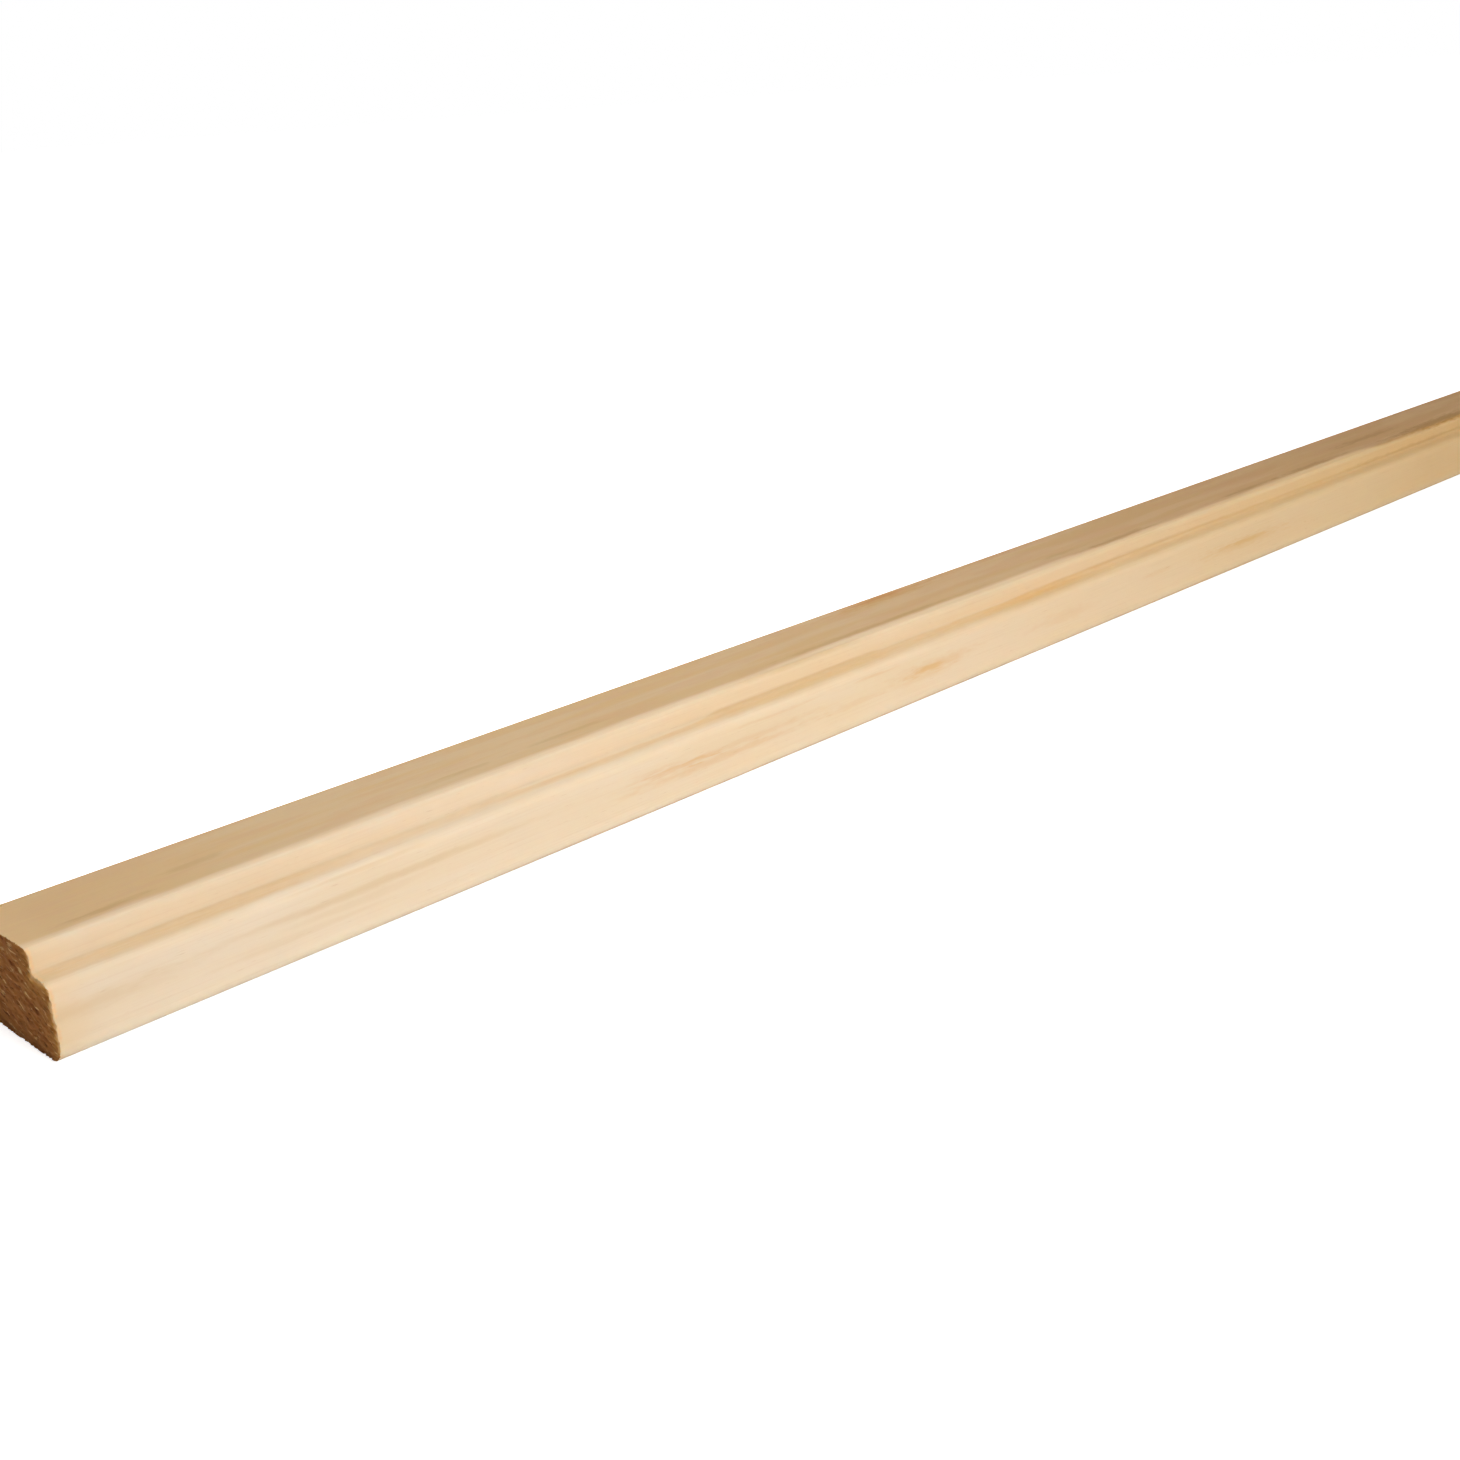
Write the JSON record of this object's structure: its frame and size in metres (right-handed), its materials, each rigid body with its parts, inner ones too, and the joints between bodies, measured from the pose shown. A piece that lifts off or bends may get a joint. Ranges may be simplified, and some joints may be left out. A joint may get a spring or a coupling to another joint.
{
  "type": "shadow moulding",
  "caption": "Long planed pine moulding with a rounded face and a stepped rebate along one back edge, which throws a shadow line where it meets a wall or panel.",
  "frame": {"origin": "middle of the length and width, on the plane of the rounded face that it lies on", "axes": "+X along the length, -Y towards the side with the rebate, +Z from the rounded face to the flat back"},
  "size_m": [2.4, 0.021, 0.015],
  "materials": {
    "pine": "planed, untreated"
  },
  "bodies": {
    "root": {"moulding": "pine"}
  },
  "joints": []
}
